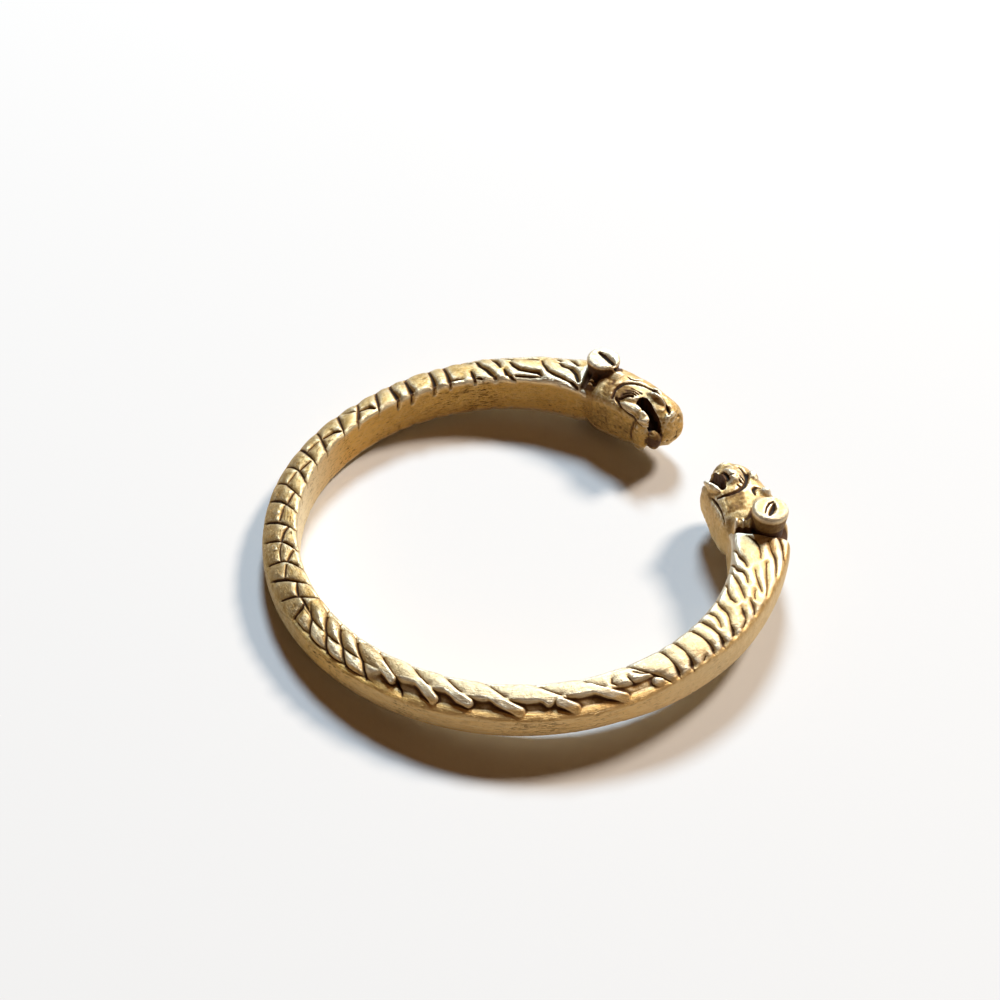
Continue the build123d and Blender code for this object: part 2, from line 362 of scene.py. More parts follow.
def row_phase(along, across, rows):
    """The way of each place from the row groove behind it, at 0, to the one ahead, at 1."""
    lines = [flow(across, ROW_SHARES, row[:4]) for row in rows] + [np.full_like(along, 190.0)]
    phase = np.full_like(along, -1.0)
    for low, high in zip(lines[:-1], lines[1:]):
        here = (along >= low) & (along < high)
        phase[here] = ((along - low) / (high - low))[here]
    return phase


def standing(along, across, width, bars):
    """1 where a bar or a knob stands, 0 clear of them all."""
    top = np.zeros_like(along)
    for bar in bars:
        points = np.asarray(bar, float)
        near = (along > points[:, 0].min() - 2) & (along < points[:, 0].max() + 2)
        if near.any():
            middle = float(np.median(width[near]))
            scaled = [(a * mm_per_degree, v * middle, w) for a, v, w in bar]
            d, half = chase(along[near] * mm_per_degree, across[near] * middle, scaled)
            top[near] = np.maximum(top[near], 1 - smooth_step(d / half, 0.62, 1.22))
    return top


def relief(along, across, width, rows, lines, splits, bars, sunk):
    """Depth in mm of the chasing at each place of one face, and how much dirt and painted shade it keeps."""
    front = sunk == near_sunk
    cuts = row_lines(rows) + splits + lines
    groove, near, dark = carve(along, across, width, cuts, *(NEAR_GROOVE if front else FAR_GROOVE))
    kept = 1 - 0.85 * smooth_step(across, 0.93, 0.99)
    cut = (groove + groove_roundness * near * smooth_step(across, -0.04, 0.1)) * kept

    # the scales dip towards the groove ahead of them
    phase = row_phase(along, np.clip(across, 0, 1), rows)
    inside = (phase >= 0) * smooth_step(along, 90, 97)
    crest = inside * smooth_step(across, -0.1, 0.15) * (1 - smooth_step(across, 0.5, 0.65))
    cut = cut + crest * scale_tilt * smooth_step(phase, 0.15, 1.0)

    # those of the near side's back are domes, two to a row
    round_back = smooth_step(along, 152, 159) if front else 0 * along
    step = 2 * np.clip(phase, 0, 1) - 1
    seat = np.where(across < 0.6, (across - 0.32) / 0.28, (across - 0.76) / 0.16)
    dome = (1 - step**2) * np.clip(1 - seat**2, 0, 1)
    domed = round_back * smooth_step(across, -0.05, 0.1) * (1 - smooth_step(across, 0.9, 1.0))
    cut = cut + domed * dome_depth * (1 - dome**0.6)

    # the outer band is sunk, but for its bars
    edge = 0.60 + 0.22 * round_back + 0.035 * waves(8, along / 3.1, 0 * along + sunk)
    hollow = smooth_step(across, edge - 0.10, edge + 0.07) * (1 - smooth_step(across, 0.80, 1.02))
    starts = (89, 93) if front else (128, 146)
    bar = standing(along, across, width, bars)
    hollow = hollow * smooth_step(along, *starts) * (1 - round_back) * (1 - bar)
    cut = np.where(bar > 0, cut * (1 - bar) + 0.08 * bar, cut)
    # dirt in the grooves, and dirt with painted shade in the sunk outer band and between the domes
    dirt_and_shade = dark * (1 - bar) * (0.7 if front else 0.95) + 0.5 * sunk * hollow
    return cut + sunk * hollow, dirt_and_shade + 0.3 * domed * (1 - dome) * (1 - dark)


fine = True
row_step = 0.112 if fine else 0.17  # mm between the sections swept round the ring
face_steps, wall_steps, rim_steps = (50, 13, 9) if fine else (34, 8, 6)
corner_rounding, rim_rounding = 3, 31  # smoothing steps for the whole section and for its rim
start_angle = collar_angle - 0.6  # inside the head
wall_top = inner_wall_height / 2
end_rounding, collar_recess = 0.95, 0.55


def neck_sizes(angle):
    share = np.clip((ridge_start_angle - angle) / (ridge_start_angle - collar_angle), 0, 1)
    gain = [flow(share, NECK[:, 0], NECK[:, k]) for k in (1, 2, 3, 4)]
    r_in = inner_radius - throat_drop * gain[1]
    r_out = inner_radius + bar_width + neck_rise * gain[0]
    crest = (bar_height + neck_swell * gain[2]) / 2
    rim = (rim_height + neck_rim_gain * gain[3]) / 2
    return r_in, r_out, crest, rim


def in_place(angle, r, z, side=1):
    """A point of the ring's polar frame in the row frame; side is 1 for the far half."""
    a = np.radians(angle)
    return np.stack(np.broadcast_arrays(r * np.cos(a), side * r * np.sin(a), z), axis=-1)


def plain_sections(side_angle):
    """The upper half of the bar's section at each angle, before it is chased: radii, heights,
    shares of the width (below 0 on the inner wall, above 1 on the rim) and outward directions."""
    r_in, r_out, crest, rim = (a[:, None] for a in neck_sizes(side_angle))
    width = r_out - r_in
    wall = np.linspace(0, 1, wall_steps, endpoint=False)[None]
    face = np.linspace(0, 1, face_steps, endpoint=False)[None]
    edge = np.linspace(0, 1, rim_steps + 1)[None]
    rise = flow(face, FACE[:, 0], FACE[:, 1])
    corner = (wall_top - rim) / (crest - rim)
    rise = rise + (corner - FACE[0, 1]) * np.clip(1 - face / 0.1, 0, 1) ** 2
    r = np.concatenate([r_in + 0 * wall, r_in + face * width, r_out + 0 * edge], axis=1)
    z = np.concatenate([wall_top * wall + 0 * r_in, rim + (crest - rim) * rise, rim * (1 - edge)], axis=1)
    inner_share, outer_share = -(1 - wall) * wall_top / width, 1 + edge * rim / width
    across = np.concatenate([inner_share, face + 0 * width, outer_share], axis=1)
    outer = smooth_step(across, 0.78, 0.92)[:, 1:-1]
    for turn in range(corner_rounding + rim_rounding):
        for profile in (r, z):
            bend = profile[:, :-2] + profile[:, 2:] - 2 * profile[:, 1:-1]
            profile[:, 1:-1] += 0.25 * bend * (1 if turn < corner_rounding else outer)
    run, climb = np.gradient(r, axis=1), np.gradient(z, axis=1)
    length = np.hypot(run, climb)
    out_r, out_z = -climb / length, run / length
    out_r[:, 0], out_z[:, 0] = -1, 0
    out_r[:, -1], out_z[:, -1] = 1, 0
    return r, z, across, width, out_r, out_z


def face_relief(angle, across, width):
    """The chasing of both halves of the band, which run into each other at the back."""
    near_share = smooth_step(angle, 178.6, 181.4)
    cut, dirt_and_shade = np.zeros_like(angle), np.zeros_like(angle)
    for share, turned, tables in (
        (1 - near_share, angle, (FAR_ROWS, FAR_LINES, FAR_SPLITS, FAR_BARS, far_sunk)),
        (near_share, 360 - angle, (NEAR_ROWS, NEAR_LINES, NEAR_SPLITS, NEAR_BARS, near_sunk)),
    ):
        rows_in = (share > 0).any(axis=1)
        if rows_in.any():
            depth, dark = relief(turned[rows_in], across[rows_in], width[rows_in], *tables)
            cut[rows_in] += share[rows_in] * depth
            dirt_and_shade[rows_in] += share[rows_in] * dark
    return cut, dirt_and_shade


def chased_rings(first_angle, last_angle):
    """The sections of a stretch of the band, each a closed ring of points, and their dirt and painted shade.
    """
    count = int(round((last_angle - first_angle) * mm_per_degree / row_step))
    theta = np.linspace(first_angle, last_angle, count + 1)
    side_angle = np.minimum(theta, 360 - theta)
    r, z, across, width, out_r, out_z = plain_sections(side_angle)
    side_angle = side_angle[:, None]
    angle = theta[:, None] + 0 * across
    cut, dirt_and_shade = face_relief(angle, across, width + 0 * across)

    # the unevenness of the casting, on the faces and on the plain walls
    arc = angle * mm_per_degree
    on_face = smooth_step(across, -0.05, 0.1) * (1 - smooth_step(across, 0.97, 1.02))
    wobble = 0.03 * waves(3, arc / 2.6, across * 3) + 0.018 * waves(4, arc / 0.9, across * 6)
    plain = 0.03 + 0.03 * waves(5, arc / 3.0, across * 1.5) + 0.012 * waves(9, arc / 0.8, across * 4)
    plain = (1 - on_face) * plain

    # the end of the mane is rounded and let in at the collar
    from_end = (side_angle - start_angle) * mm_per_degree
    end_round = end_rounding * smooth_step(across, -0.12, 0.06) * np.exp(-((from_end / 0.62) ** 2))
    recess = smooth_step(across, -0.06, 0.04) * (1 - smooth_step(across, 0.55, 0.75))
    end_round = end_round + collar_recess * recess * (1 - smooth_step(side_angle, 38.0, 39.2))
    cut = np.maximum(cut, 0) + plain + on_face * (0.03 + wobble) + end_round
    end = 1 - smooth_step(side_angle, 38.2, 39.3)
    end_dirt = smooth_step(across, -0.03, 0.03) * (1 - smooth_step(across, 0.75, 0.95))
    dirt_and_shade = np.maximum(dirt_and_shade, 0.85 * end * end_dirt) * smooth_step(across, -0.12, 0.0)

    # the lower side mirrors the upper one, with its corners left whole
    halves = []
    for sign, seed in ((1, 6), (-1, 7)):
        depth = cut + 0.015 * on_face * (1 + waves(seed, arc / 0.7, across * 7))
        if sign < 0:
            inner_kept = 0.8 * (1 - smooth_step(across, 0.08, 0.34))
            depth = depth * (1 - inner_kept - 0.8 * smooth_step(across, 0.8, 0.97))
        halves.append(in_place(angle, r - out_r * depth, sign * (z - out_z * depth)))
    under_dirt = dirt_and_shade * smooth_step(across, 0.08, 0.34)
    rings = np.concatenate([halves[0], halves[1][:, -2::-1]], axis=1)
    rings[:, -1] = rings[:, 0]
    return rings, np.concatenate([dirt_and_shade, under_dirt[:, -2::-1]], axis=1)


def rolled_tube(name, rings, dirt_and_shade=None):
    """A grid rolled up into a closed tube: rings of points, each with its first point repeated
    at its end, joined along the seam and closed at both ends. Its dirt and painted shade are kept as a
    value."""
    count, around = rings.shape[:2]
    bpy.ops.object.select_all(action="DESELECT")
    bpy.ops.mesh.primitive_grid_add(x_subdivisions=around - 1, y_subdivisions=count - 1, size=1)
    tube = bpy.context.object
    tube.name = tube.data.name = name
    tube.data.vertices.foreach_set("co", (rings.reshape(-1, 3) * MM).ravel())
    if dirt_and_shade is not None:
        tube.data.attributes.new("dirt_and_shade", "FLOAT", "POINT").data.foreach_set("value", dirt_and_shade.ravel())
    bpy.ops.object.mode_set(mode="EDIT")
    bpy.ops.mesh.select_all(action="SELECT")
    bpy.ops.mesh.remove_doubles(threshold=1e-7)
    bpy.ops.mesh.select_all(action="DESELECT")
    bpy.ops.mesh.select_mode(type="EDGE")
    bpy.ops.mesh.select_non_manifold(extend=False, use_boundary=True)
    bpy.ops.mesh.mark_sharp()
    bpy.ops.mesh.edge_face_add()
    bpy.ops.mesh.select_all(action="SELECT")
    bpy.ops.mesh.normals_make_consistent(inside=False)
    bpy.ops.object.mode_set(mode="OBJECT")
    return tube


far_band = rolled_tube("bangle_band_far", *chased_rings(start_angle, 180))
near_band = rolled_tube("bangle_band_near", *chased_rings(180, 360 - start_angle))

# Heads
# Two beast heads end the ring, face to face over the gap. Each was cast with the band, then its
# mouth was sawn through and its features were cut and punched.

nape_radius = inner_radius + bar_width * 0.67
head_depth = 8.9
head_half_thickness = 4.1
head_angle = 27.0

# share of the head, from the collar | brow, in head depths from the nape's radius |
# half heights at the jaw, the cheek and the brow, in half thicknesses
HEAD = np.array([
    (-0.1, 0.33, 0.6, 0.66, 0.46),
    (0, 0.36, 0.62, 0.68, 0.5),
    (0.06, 0.38, 0.66, 0.76, 0.56),
    (0.14, 0.42, 0.82, 0.97, 0.72),
    (0.28, 0.41, 0.84, 1, 0.71),
    (0.42, 0.37, 0.82, 1, 0.69),
    (0.56, 0.33, 0.76, 0.97, 0.67),
    (0.7, 0.26, 0.7, 0.95, 0.65),
    (0.84, 0.21, 0.62, 0.84, 0.62),
    (0.93, 0.14, 0.5, 0.66, 0.5),
    (1, 0.02, 0.26, 0.36, 0.26),
])
# share of the head | depth of the jaw, in head depths from the nape's radius
FAR_JAW = np.array([
    (-0.1, 0.43), (0, 0.455), (0.14, 0.53), (0.42, 0.59), (0.63, 0.6), (0.72, 0.56), (0.84, 0.5),
    (0.93, 0.38), (1, 0.22)
])
NEAR_JAW = np.array([
    (-0.1, 0.43), (0, 0.455), (0.14, 0.56), (0.42, 0.64), (0.7, 0.65), (0.8, 0.62), (0.86, 0.54),
    (0.93, 0.42), (1, 0.24)
])
# share of the depth, from the jaw to the brow | share of the half height there
HEAD_SECTION = [
    (0, 0), (0, 0.78), (0.1, 1), (0.38, 1), (0.66, 0.97), (0.88, 1), (1, 0.55), (1, 0)
]
head_mm_per_degree = radians(1) * nape_radius
head_sections, head_rounding = 60, 14


def head_core(side, jaw_depths):
    shares = np.linspace(HEAD[0, 0], 1, head_sections)
    rings = []
    for share in shares:
        jaw = float(flow(share, jaw_depths[:, 0], jaw_depths[:, 1]))
        brow, z_jaw, z_cheek, z_brow = (float(flow(share, HEAD[:, 0], HEAD[:, k])) for k in range(1, 5))
        low, high = nape_radius - jaw * head_depth, nape_radius + brow * head_depth
        heights = (0, z_jaw, z_jaw, z_cheek, z_cheek, z_brow, z_brow, 0)
        points = np.array([(w, z * h) for (w, z), h in zip(HEAD_SECTION, heights)])
        points = points * (high - low, head_half_thickness) + (low, 0)
        lengths = np.concatenate([[0], np.cumsum(np.hypot(*np.diff(points, axis=0).T))])
        walk = np.linspace(0, lengths[-1], 41)
        half = np.stack([np.interp(walk, lengths, points[:, k]) for k in (0, 1)], axis=1)
        whole = np.concatenate([half, (half * (1, -1))[-2:0:-1]])
        for _ in range(head_rounding):
            beside = (np.roll(whole, 1, 0) + np.roll(whole, -1, 0)) / 2
            whole = whole + 0.5 * (beside - whole)
        whole = np.concatenate([whole, whole[:1]])
        angle = collar_angle - head_angle * share
        rings.append(in_place(angle, whole[:, 0], whole[:, 1], side))
    return rolled_tube("bangle_head_core", np.array(rings))


def lobe(angle, r, z, sizes, side, tilt=0.0):
    """An egg-shaped lump: its half sizes are along the ring, across it and upwards."""
    x, y, up = in_place(angle, r, z, side) * MM
    turn = atan2(y, x) + radians(90 + side * tilt)
    bpy.ops.mesh.primitive_uv_sphere_add(
        segments=32, ring_count=20, location=(x, y, up), rotation=(0, 0, turn), scale=[s * MM for s in sizes]
    )
    return bpy.context.object


ear_angle, ear_radius = 35.1, 30.8
ear_half, ear_foot_half = 2.4, 1.9
ear_foot_height = 2.0  # inside the head
ear_rounding = 0.7


def ear(top, side):
    """A cup-shaped ear that widens from the head to its flat, round-edged end."""
    x, y, _ = in_place(ear_angle, ear_radius, 0.0, side) * MM
    up = 1 if top > 0 else -1
    low, high = sorted((up * ear_foot_height, top))
    bpy.ops.mesh.primitive_cone_add(
        vertices=48,
        radius1=(ear_foot_half if up > 0 else ear_half) * MM,
        radius2=(ear_half if up > 0 else ear_foot_half) * MM,
        depth=(high - low) * MM,
        location=(x, y, (low + high) / 2 * MM),
    )
    cup = bpy.context.object
    bpy.ops.object.mode_set(mode="EDIT")
    bpy.ops.mesh.select_mode(type="FACE")
    bpy.ops.mesh.select_all(action="DESELECT")
    bpy.ops.object.mode_set(mode="OBJECT")
    for polygon in cup.data.polygons:
        polygon.select = up * polygon.normal.z > 0.9
    bpy.ops.object.mode_set(mode="EDIT")
    bpy.ops.mesh.bevel(offset=ear_rounding * MM, segments=6)
    bpy.ops.object.mode_set(mode="OBJECT")
    return cup


def join(objects, name):
    bpy.ops.object.select_all(action="DESELECT")
    for piece in objects:
        piece.select_set(True)
    bpy.context.view_layer.objects.active = objects[0]
    bpy.ops.object.transform_apply(location=True, rotation=True, scale=True)
    bpy.ops.object.join()
    objects[0].name = objects[0].data.name = name
    return objects[0]


def apply_modifier(piece, kind, **settings):
    bpy.ops.object.select_all(action="DESELECT")
    piece.select_set(True)
    bpy.context.view_layer.objects.active = piece
    modifier = piece.modifiers.new(kind.lower(), kind)
    for key, value in settings.items():
        setattr(modifier, key, value)
    bpy.ops.object.modifier_apply(modifier=modifier.name)


# the slot of each mouth: angle | radius of the lower jaw's edge | radius of the upper jaw's edge
FAR_MOUTH = [
    (20.9, 26.7, 27.3), (20.4, 26.2, 27.7), (19, 25.75, 27.8), (17, 25.45, 27.4), (15, 25.35, 27),
    (13.6, 25.2, 26.9), (12.9, 24.6, 26.8), (12.4, 23.4, 26.8), (12.2, 21, 26.7), (7, 20, 26.2),
]
NEAR_MOUTH = [
    (22.6, 25.9, 26.3), (21.8, 25.6, 26.6), (20, 25.3, 26.6), (18, 25, 26.5), (16, 24.7, 26.5),
    (14.6, 24.2, 26.5), (14, 23.2, 26.5), (13.8, 21, 26.5), (7, 20, 26.2),
]


def mouth_slot(side, mouth):
    """A wedge with the outline of a mouth, that goes right through a head."""
    rings = []
    for angle, low, high in mouth:
        corners = [(low, -6.0), (low, 6.0), (high, 6.0), (high, -6.0), (low, -6.0)]
        rings.append([in_place(angle, r, z, side) for r, z in corners])
    return rolled_tube("mouth_slot", np.array(rings))


collar_bar_angle = 36.0
collar_bar_radii = (26.85, 27.65, 28.45)
lump_voxel = 0.16
skin_voxel = 0.12 if fine else 0.16


def head(side, name, jaw_depths, lobes, mouth, web, collar_bar, ears):
    """One head: its lumps joined and fused, and its mouth sawn through. The lumps of its upper
    side have twins below, but for those of the lower jaw."""
    pieces = [head_core(side, jaw_depths), ear(ears[0], side), ear(-ears[1], side)]
    for angle, r, z, sizes, tilt in lobes:
        pieces.append(lobe(angle, r, z, sizes, side, tilt))
        if z > 0.5 and r > 26:
            pieces.append(lobe(angle, r, -z + 0.4, sizes, side, tilt))
    for r in collar_bar_radii:
        pieces.append(lobe(collar_bar_angle, r, *collar_bar, side))
    whole = join(pieces, name)
    apply_modifier(whole, "REMESH", mode="VOXEL", voxel_size=lump_voxel * MM)
    slot = mouth_slot(side, mouth)
    apply_modifier(whole, "BOOLEAN", operation="DIFFERENCE", solver="EXACT", object=slot)
    bpy.data.objects.remove(slot, do_unlink=True)
    whole = join([whole] + [lobe(*lump, side) for lump in web], name)
    apply_modifier(whole, "REMESH", mode="VOXEL", voxel_size=skin_voxel * MM)
    apply_modifier(whole, "SMOOTH", factor=0.5, iterations=3)
    return whole


# angle | radius | height of the middle | half sizes along, across and up | tilt
FAR_LOBES = [
    (31, 29.6, 0, (3.5, 2.1, 4.6), 0), (25.2, 30.6, 2.5, (1.7, 1.2, 1.15), 0),
    (19.6, 30.2, 2.6, (1.6, 1, 1.1), 0), (17.4, 28.75, 0.2, (3, 0.95, 4.35), 5),
    (23.4, 27.3, 2.9, (1.4, 1.6, 1.35), 0), (19.4, 25.35, 3.1, (2.6, 0.8, 0.95), 0),
    (15.6, 24.9, 2.7, (1.3, 0.8, 0.9), 0), (12, 28.4, 0.3, (1.1, 1.8, 2.9), 0),
]
NEAR_LOBES = [
    (30.8, 30.2, 0, (3.5, 2.3, 4.6), 0), (25.2, 31.2, 3.3, (0.85, 0.8, 1.05), 0),
    (19, 30.6, 3, (1.1, 0.8, 0.95), 0), (17, 28.2, 0.2, (2.6, 1.3, 4.2), 0),
    (18.7, 27.75, 2.95, (1.8, 1.65, 1.75), 0), (20.9, 25.1, 3.15, (1.7, 0.42, 0.7), -31),
    (12.2, 28.3, 0.3, (1.1, 1.8, 2.9), 0),
]
# what is left inside each mouth and at the tip of its lower jaw
FAR_WEB = [
    (18.2, 26.7, 0, (2.6, 1.3, 1.5)), (12.3, 25.6, -0.2, (1.1, 1, 1.5)),
    (16.3, 24.95, -0.1, (1.3, 0.85, 2.5)),
]
NEAR_WEB = [
    (18.2, 26.7, 0, (2.6, 1.3, 1.5)), (13.4, 26.3, -0.4, (0.9, 0.7, 1.2)), (17.2, 25, -0.5, (1.2, 0.6, 2.3)),
]
# the short bars behind each head: height of the middle | half sizes along, across and up
FAR_BAR = (0.7, (0.95, 0.26, 3.3))
NEAR_BAR = (2.2, (1.05, 0.46, 2.15))
outer_radius = inner_radius + bar_width
# lines cut into a head's upper and lower side: angle | share of the outer radius in thousandths |
# half width in hundredths of a mm
FAR_CUTS = whole_numbered(1000, [
    [(28, 820, 8), (28.4, 860, 14), (27.4, 905, 22), (25.2, 935, 27), (22.6, 952, 26), (20, 952, 24),
     (17.6, 942, 25), (15.2, 928, 30), (13, 912, 32), (11.8, 890, 20)],
    [(26, 825, 8), (24.2, 838, 13), (22.3, 850, 14)],
    [(25.6, 848, 8), (24, 858, 13), (22, 866, 14)],
    [(25.2, 870, 8), (23.6, 876, 12), (21.8, 880, 12)],
    [(24.4, 892, 8), (22.8, 894, 11), (21.3, 893, 10)],
    [(26.4, 785, 14), (24.5, 777, 20), (21, 772, 24), (17, 765, 20)],
    [(27.6, 958, 10), (26.6, 952, 18), (25.4, 958, 18), (24.4, 970, 10)],
    [(21.4, 960, 8), (20.4, 955, 14), (19.2, 962, 8)],
    [(36.6, 1000, 22), (35.4, 992, 38), (34.2, 980, 40), (33, 966, 40), (31.8, 954, 36), (31, 948, 22)],
])
NEAR_CUTS = whole_numbered(1000, [
    [(24.9, 800, 16), (25.2, 840, 20), (24.6, 880, 24), (22.9, 915, 26), (20.4, 940, 24),
     (17.5, 948, 22), (15, 945, 20)],
    [(21, 905, 8), (22.2, 918, 12)],
    [(19.8, 912, 8), (20.8, 925, 12)],
    [(22.2, 890, 8), (23.2, 900, 12)],
    [(16, 850, 22), (17.4, 848, 42), (18.8, 850, 52), (20.4, 855, 34)],
    [(19.4, 862, 10), (19.6, 885, 7)],
    [(35, 812, 5), (32.6, 806, 7), (30, 800, 8), (26.6, 790, 12), (23.6, 780, 18), (20, 762, 16)],
    [(26.4, 945, 10), (25.4, 945, 20), (24, 950, 24), (23.2, 965, 18), (23.4, 985, 10)],
    [(37.6, 972, 12), (36.6, 978, 30), (35.2, 988, 34), (33.9, 992, 16)],
    [(36.9, 956, 7), (35.2, 962, 10), (33.8, 974, 12), (33.2, 990, 10)],
])
# the crease under the lower lip, along the inner wall: angle | height | half width, in mm
LIP_CREASE = [(27, 3.3, 0.1), (24.4, 2.9, 0.22), (21, 2.6, 0.26), (17.6, 2.4, 0.24), (15.2, 2.2, 0.16)]


def vertex_rows(mesh, name):
    """The places or the normals of a mesh's vertices, one to a row."""
    values = np.empty(len(mesh.vertices) * 3)
    mesh.vertices.foreach_get(name, values)
    return values.reshape(-1, 3)


def in_slot(angle, r, mouth):
    """1 inside a mouth, and less at its end, where the lump shows."""
    points = np.array(mouth)[::-1]
    low, high = (np.interp(angle, points[:, 0], points[:, k]) for k in (1, 2))
    inside = smooth_step(r - low, -0.12, 0.12) * smooth_step(high - r, -0.12, 0.12)
    return inside * (angle < mouth[0][0]) * (1 - 0.64 * smooth_step(-angle, -13.8, -13.0))


def cut_head(piece, side, cuts, mouth, creased, ear_top, painted_shade, seed):
    """Cuts the lines of a head into its two sides, roughens its skin as the casting left it,
    and keeps its dirt and painted shade. Its two shares of painted shade are the cheek's and the ear side's."""
    mesh = piece.data
    co, normal = vertex_rows(mesh, "co") / MM, vertex_rows(mesh, "normal")
    r = np.hypot(co[:, 0], co[:, 1])
    angle = np.degrees(np.arctan2(side * co[:, 1], co[:, 0]))

    # the cut lines, on the faces alone
    depth, dark = np.zeros(len(co)), np.zeros(len(co))
    for line in cuts:
        scaled = [(a * head_mm_per_degree, q * outer_radius, w) for a, q, w in line]
        d, half = chase(angle * head_mm_per_degree, r, scaled)
        depth = np.maximum(depth, (groove_depth(half) + 0.06) * groove_profile(d, half))
        dark = np.maximum(dark, groove_dirt(d, half, 0.12))
    facing = smooth_step(np.abs(normal[:, 2]), 0.2, 0.55)
    high = smooth_step(np.abs(co[:, 2]), 2.0, 2.8)
    depth, dark = depth * facing * high, dark * facing * high
    scaled = [(a * head_mm_per_degree, z, w) for a, z, w in LIP_CREASE]
    d, half = chase(angle * head_mm_per_degree, co[:, 2], scaled)
    inward = smooth_step(-(normal[:, 0] * co[:, 0] + normal[:, 1] * co[:, 1]) / r, 0.1, 0.5)
    crease = creased * inward * (r < 26.2) * groove_depth(half) * groove_profile(d, half)
    depth = np.maximum(depth, crease)

    # the skin, with pocks towards the nose
    skin = 0.05 * waves(seed, *(co / 0.75).T) + 0.035 * waves(seed + 1, *(co / 0.35).T)
    pocks = np.clip(waves(seed + 2, *(co / 0.5).T) - 0.35, 0, 1) * 0.28 * smooth_step(-angle, -24, -15)
    co = co - normal * (depth + 0.05 + pocks + skin * (angle < 33))[:, None]
    mesh.vertices.foreach_set("co", (co * MM).ravel())

    # dirt in the lines and the collar, and painted shade under the ear, on the cheek and in the mouth
    x, y, _ = in_place(ear_angle, ear_radius, 0.0, side)
    from_ear = np.hypot(co[:, 0] - x, co[:, 1] - y)
    up = np.abs(co[:, 2])
    below_rim = 1 - smooth_step(up, ear_top - 1.1, ear_top - 0.45)
    under_ear = smooth_step(-from_ear, -ear_half - 0.6, -ear_half) * below_rim
    collar = smooth_step(angle, 34.0, 34.8) * (1 - smooth_step(up, 3.3, 3.6)) * smooth_step(r, 26.4, 27.0)
    cheek = smooth_step(angle, 21, 25) * smooth_step(-angle, -33.5, -31)
    cheek = cheek * smooth_step(r, 25.4, 26.2) * smooth_step(-r, -29.3, -27.8)
    blotched = 0.85 + 0.16 * waves(seed + 5, *(co / 0.9).T) + 0.2 * waves(seed + 6, *(co / 0.35).T)
    dirt_and_shade = np.maximum(dark, crease / 0.36) + painted_shade[0] * cheek * blotched
    dirt_and_shade = np.clip(dirt_and_shade + painted_shade[1] * under_ear + 0.9 * collar, 0, 1)
    # painted shade in the mouth's slot, dark enough to turn black
    dirt_and_shade = dirt_and_shade + 1.7 * in_slot(angle, r, mouth) + 0.9 * smooth_step(depth, 0.42, 0.62)
    mesh.attributes.new("dirt_and_shade", "FLOAT", "POINT").data.foreach_set("value", dirt_and_shade)
    mesh.update()


# how far the ears of each head stand up and down from the middle plane
FAR_EARS, NEAR_EARS = (5.5, 5.05), (6.05, 6.05)
far_head = head(1, "bangle_head_far", FAR_JAW, FAR_LOBES, FAR_MOUTH, FAR_WEB, FAR_BAR, FAR_EARS)
# the last pair gives the shares of painted shade on the cheek and on the ear's side
cut_head(far_head, 1, FAR_CUTS, FAR_MOUTH, 1, FAR_EARS[0], (0.75, 0.8), 21)
near_head = head(-1, "bangle_head_near", NEAR_JAW, NEAR_LOBES, NEAR_MOUTH, NEAR_WEB, NEAR_BAR, NEAR_EARS)
cut_head(near_head, -1, NEAR_CUTS, NEAR_MOUTH, 0, NEAR_EARS[0], (0.72, 0.6), 31)

# Finish
# Cast brass, filed and tumbled: pale gold on the high places, and a brown patina left in the
# hollows, with file marks along the plain walls. Painted shade darkens the deepest hollows, the
# mouths, the cheeks, the ears' sides and most plain walls, and painted light and highlight pale
# some walls, the near half and the far head's top.


class Tap:
    """A shader socket that takes part in sums."""

    def __init__(self, tree, socket):
        self.tree, self.socket = tree, socket

    def node(self, kind, settings=None, inputs=None, output=0):
        made = self.tree.nodes.new(kind)
        for key, value in (settings or {}).items():
            setattr(made, key, value)
        for key, value in (inputs or {}).items():
            if isinstance(value, Tap):
                self.tree.links.new(value.socket, made.inputs[key])
            else:
                made.inputs[key].default_value = value
        return Tap(self.tree, made.outputs[output])

    def sum_of(self, operation, first, second):
        return self.node("ShaderNodeMath", {"operation": operation}, {0: first, 1: second})

    def __add__(self, other):
        return self.sum_of("ADD", self, other)

    __radd__ = __add__

    def __sub__(self, other):
        return self.sum_of("SUBTRACT", self, other)

    def __rsub__(self, other):
        return self.sum_of("SUBTRACT", other, self)

    def __mul__(self, other):
        return self.sum_of("MULTIPLY", self, other)

    __rmul__ = __mul__

    def between(self, low, high):
        """This value's way from low to high, as 0 to 1."""
        inputs = {0: self, 1: low, 2: high, 3: 0.0, 4: 1.0}
        return self.node("ShaderNodeMapRange", {"interpolation_type": "SMOOTHSTEP"}, inputs)

    def mix(self, first, second):
        """A colour: first where this value is 0 and second where it is 1."""
        return self.node("ShaderNodeMix", {"data_type": "RGBA"}, {0: self, 6: first, 7: second}, output=2)


def neighbours_mean(pairs, count, values):
    total = np.stack([np.bincount(pairs[:, 0], values[pairs[:, 1], k], count) for k in range(3)], axis=1)
    total += np.stack([np.bincount(pairs[:, 1], values[pairs[:, 0], k], count) for k in range(3)], axis=1)
    share = np.bincount(pairs.ravel(), minlength=count)
    return total / share[:, None]


